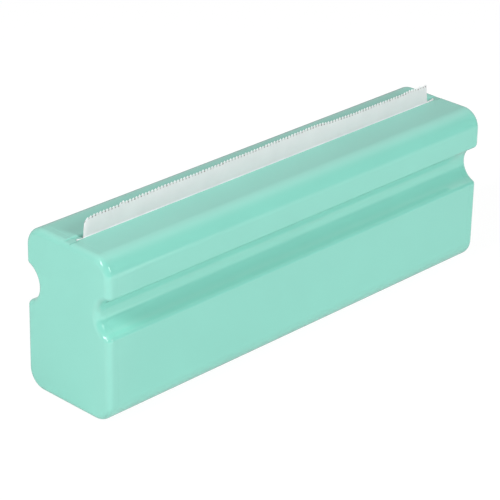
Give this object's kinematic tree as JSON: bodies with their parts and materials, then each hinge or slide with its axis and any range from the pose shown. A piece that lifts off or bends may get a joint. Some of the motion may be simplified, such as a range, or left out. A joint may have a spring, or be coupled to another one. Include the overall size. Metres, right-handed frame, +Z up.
{
  "type": "wide tape dispenser",
  "caption": "Free-standing box dispenser for wide tape, with a grip groove along each side, a slot with a toothed cutter on top and pull-off end cap.",
  "frame": {"origin": "on the floor under the middle of the dispenser, at the bottom of its feet", "axes": "+X along the dispenser towards the pull-off end cap, -Y out of the front side, +Z up"},
  "size_m": [0.328, 0.0708, 0.1193],
  "materials": {
    "gloss_mint": "moulded gloss mint plastic",
    "grey_plastic": "moulded grey plastic",
    "blade_steel": "ground spring steel",
    "steel": "plain steel wire and rod",
    "rubber": "black rubber",
    "silicone": "soft translucent silicone",
    "film": "thin cloudy film, gloss face",
    "card": "spiral-wound board",
    "white_plastic": "natural acetal",
    "felt": "grey felt"
  },
  "bodies": {
    "casing": {"casing": "gloss_mint", "left_end_cap": "gloss_mint", "rubber_feet": "rubber", "blade_carrier": "grey_plastic", "cutter_blade": "blade_steel", "blade_screws": "steel", "roller_carrier": "grey_plastic", "holding_strip": "silicone", "roller_bushes": "white_plastic", "friction_washer": "felt", "drag_spring": "steel", "tape_web": "film"},
    "end_cap": {"right_end_cap": "gloss_mint", "thrust_washer": "felt"},
    "roll": {"tape_roll": "film", "roll_core": "card", "left_hub": "white_plastic", "right_hub": "white_plastic"},
    "guide": {"roller_axle": "steel", "guide_roller": "white_plastic"},
    "tape": {"tape_tail": "film"}
  },
  "joints": [
    {"name": "roll_spin", "type": "hinge", "parent": "casing", "child": "roll", "pos_m": [0, 0, 0.0338], "axis": [-1, 0, 0], "range_deg": [-25, 212]},
    {"name": "tape_pull", "type": "slide", "parent": "casing", "child": "tape", "axis": [0, 0, 1], "range_m": [-0.012, 0.1], "deforming": ["tape_web"]},
    {"name": "guide_roller_spin", "type": "hinge", "parent": "casing", "child": "guide", "pos_m": [0, -0.0055, 0.0828], "axis": [1, 0, 0], "range_deg": [-151, 1273]},
    {"name": "end_cap_pull", "type": "slide", "parent": "casing", "child": "end_cap", "axis": [1, 0, 0], "range_m": [0, 0.018]}
  ],
  "couplings": [
    {"joint": "tape_pull", "follows": "roll_spin", "m_per_rad": 0.027},
    {"joint": "guide_roller_spin", "follows": "roll_spin", "ratio": 6}
  ]
}
